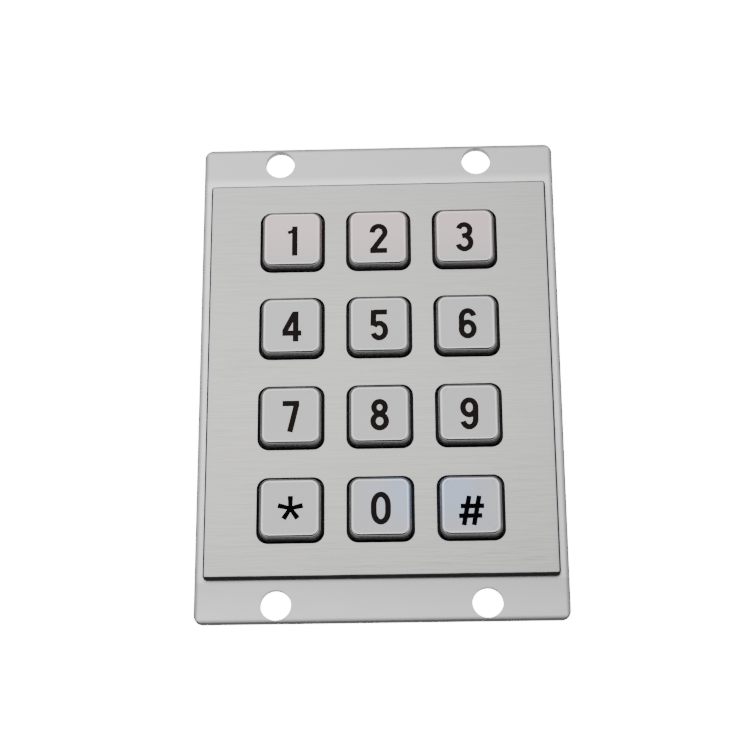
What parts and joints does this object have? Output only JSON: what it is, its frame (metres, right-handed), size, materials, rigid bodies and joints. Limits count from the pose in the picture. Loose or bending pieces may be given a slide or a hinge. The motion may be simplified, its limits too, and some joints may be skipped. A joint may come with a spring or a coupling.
{
  "type": "metal access keypad",
  "caption": "Flanged stainless keypad module for door access: raised brushed face, sprung square metal keys on a telephone layout, board and pin header behind.",
  "frame": {"origin": "under the middle of the face, on the plane of the rear standoffs' free ends, which the keypad lies on", "axes": "+Z out of the face, +Y towards the 1-2-3 row, +X to the right as the keys are read"},
  "size_m": [0.0782, 0.109, 0.0232],
  "materials": {
    "flange_steel": "stainless sheet, fine satin, deburred edges",
    "face_steel": "stainless sheet, brushed along X",
    "key_metal": "satin plated top, polished rounded sides",
    "legend_enamel": "black enamel filled into the engraving",
    "guide_plastic": "black moulded, fine grain",
    "silicone": "grey translucent silicone",
    "carbon": "matt carbon-filled silicone",
    "board_laminate": "green solder mask over glass laminate",
    "copper_finish": "gold-plated contact metal",
    "solder": "tinned and soldered joints",
    "connector_plastic": "black moulded strip with plated pins",
    "chip_plastic": "moulded package with tinned legs",
    "ceramic": "tan ceramic with tinned ends",
    "fastener_steel": "bright zinc-plated steel"
  },
  "bodies": {
    "module": {"mounting_plate": "flange_steel", "face_panel": "face_steel", "key_guide": "guide_plastic", "keymat": "silicone", "circuit_board": "board_laminate", "pin_header": "connector_plastic", "encoder_chip": "chip_plastic", "capacitor_1": "ceramic", "capacitor_2": "ceramic", "capacitor_3": "ceramic", "washer_1": "fastener_steel", "nut_1": "fastener_steel", "standoff_1": "fastener_steel", "washer_2": "fastener_steel", "nut_2": "fastener_steel", "standoff_2": "fastener_steel", "washer_3": "fastener_steel", "nut_3": "fastener_steel", "standoff_3": "fastener_steel", "washer_4": "fastener_steel", "nut_4": "fastener_steel", "standoff_4": "fastener_steel", "dome_1": "silicone", "dome_2": "silicone", "dome_3": "silicone", "dome_4": "silicone", "dome_5": "silicone", "dome_6": "silicone", "dome_7": "silicone", "dome_8": "silicone", "dome_9": "silicone", "dome_star": "silicone", "dome_0": "silicone", "dome_hash": "silicone"},
    "button_1": {"key_1": "key_metal", "pill_1": "carbon"},
    "button_2": {"key_2": "key_metal", "pill_2": "carbon"},
    "button_3": {"key_3": "key_metal", "pill_3": "carbon"},
    "button_4": {"key_4": "key_metal", "pill_4": "carbon"},
    "button_5": {"key_5": "key_metal", "pill_5": "carbon"},
    "button_6": {"key_6": "key_metal", "pill_6": "carbon"},
    "button_7": {"key_7": "key_metal", "pill_7": "carbon"},
    "button_8": {"key_8": "key_metal", "pill_8": "carbon"},
    "button_9": {"key_9": "key_metal", "pill_9": "carbon"},
    "button_star": {"key_star": "key_metal", "pill_star": "carbon"},
    "button_0": {"key_0": "key_metal", "pill_0": "carbon"},
    "button_hash": {"key_hash": "key_metal", "pill_hash": "carbon"}
  },
  "joints": [
    {"name": "press_1", "type": "slide", "parent": "module", "child": "button_1", "axis": [0, 0, -1], "range_m": [0, 0.001], "stiffness_N_per_m": 900, "springref_m": -0.0003, "deforming": ["dome_1"]},
    {"name": "press_2", "type": "slide", "parent": "module", "child": "button_2", "axis": [0, 0, -1], "range_m": [0, 0.001], "stiffness_N_per_m": 900, "springref_m": -0.0003, "deforming": ["dome_2"]},
    {"name": "press_3", "type": "slide", "parent": "module", "child": "button_3", "axis": [0, 0, -1], "range_m": [0, 0.001], "stiffness_N_per_m": 900, "springref_m": -0.0003, "deforming": ["dome_3"]},
    {"name": "press_4", "type": "slide", "parent": "module", "child": "button_4", "axis": [0, 0, -1], "range_m": [0, 0.001], "stiffness_N_per_m": 900, "springref_m": -0.0003, "deforming": ["dome_4"]},
    {"name": "press_5", "type": "slide", "parent": "module", "child": "button_5", "axis": [0, 0, -1], "range_m": [0, 0.001], "stiffness_N_per_m": 900, "springref_m": -0.0003, "deforming": ["dome_5"]},
    {"name": "press_6", "type": "slide", "parent": "module", "child": "button_6", "axis": [0, 0, -1], "range_m": [0, 0.001], "stiffness_N_per_m": 900, "springref_m": -0.0003, "deforming": ["dome_6"]},
    {"name": "press_7", "type": "slide", "parent": "module", "child": "button_7", "axis": [0, 0, -1], "range_m": [0, 0.001], "stiffness_N_per_m": 900, "springref_m": -0.0003, "deforming": ["dome_7"]},
    {"name": "press_8", "type": "slide", "parent": "module", "child": "button_8", "axis": [0, 0, -1], "range_m": [0, 0.001], "stiffness_N_per_m": 900, "springref_m": -0.0003, "deforming": ["dome_8"]},
    {"name": "press_9", "type": "slide", "parent": "module", "child": "button_9", "axis": [0, 0, -1], "range_m": [0, 0.001], "stiffness_N_per_m": 900, "springref_m": -0.0003, "deforming": ["dome_9"]},
    {"name": "press_star", "type": "slide", "parent": "module", "child": "button_star", "axis": [0, 0, -1], "range_m": [0, 0.001], "stiffness_N_per_m": 900, "springref_m": -0.0003, "deforming": ["dome_star"]},
    {"name": "press_0", "type": "slide", "parent": "module", "child": "button_0", "axis": [0, 0, -1], "range_m": [0, 0.001], "stiffness_N_per_m": 900, "springref_m": -0.0003, "deforming": ["dome_0"]},
    {"name": "press_hash", "type": "slide", "parent": "module", "child": "button_hash", "axis": [0, 0, -1], "range_m": [0, 0.001], "stiffness_N_per_m": 900, "springref_m": -0.0003, "deforming": ["dome_hash"]}
  ]
}
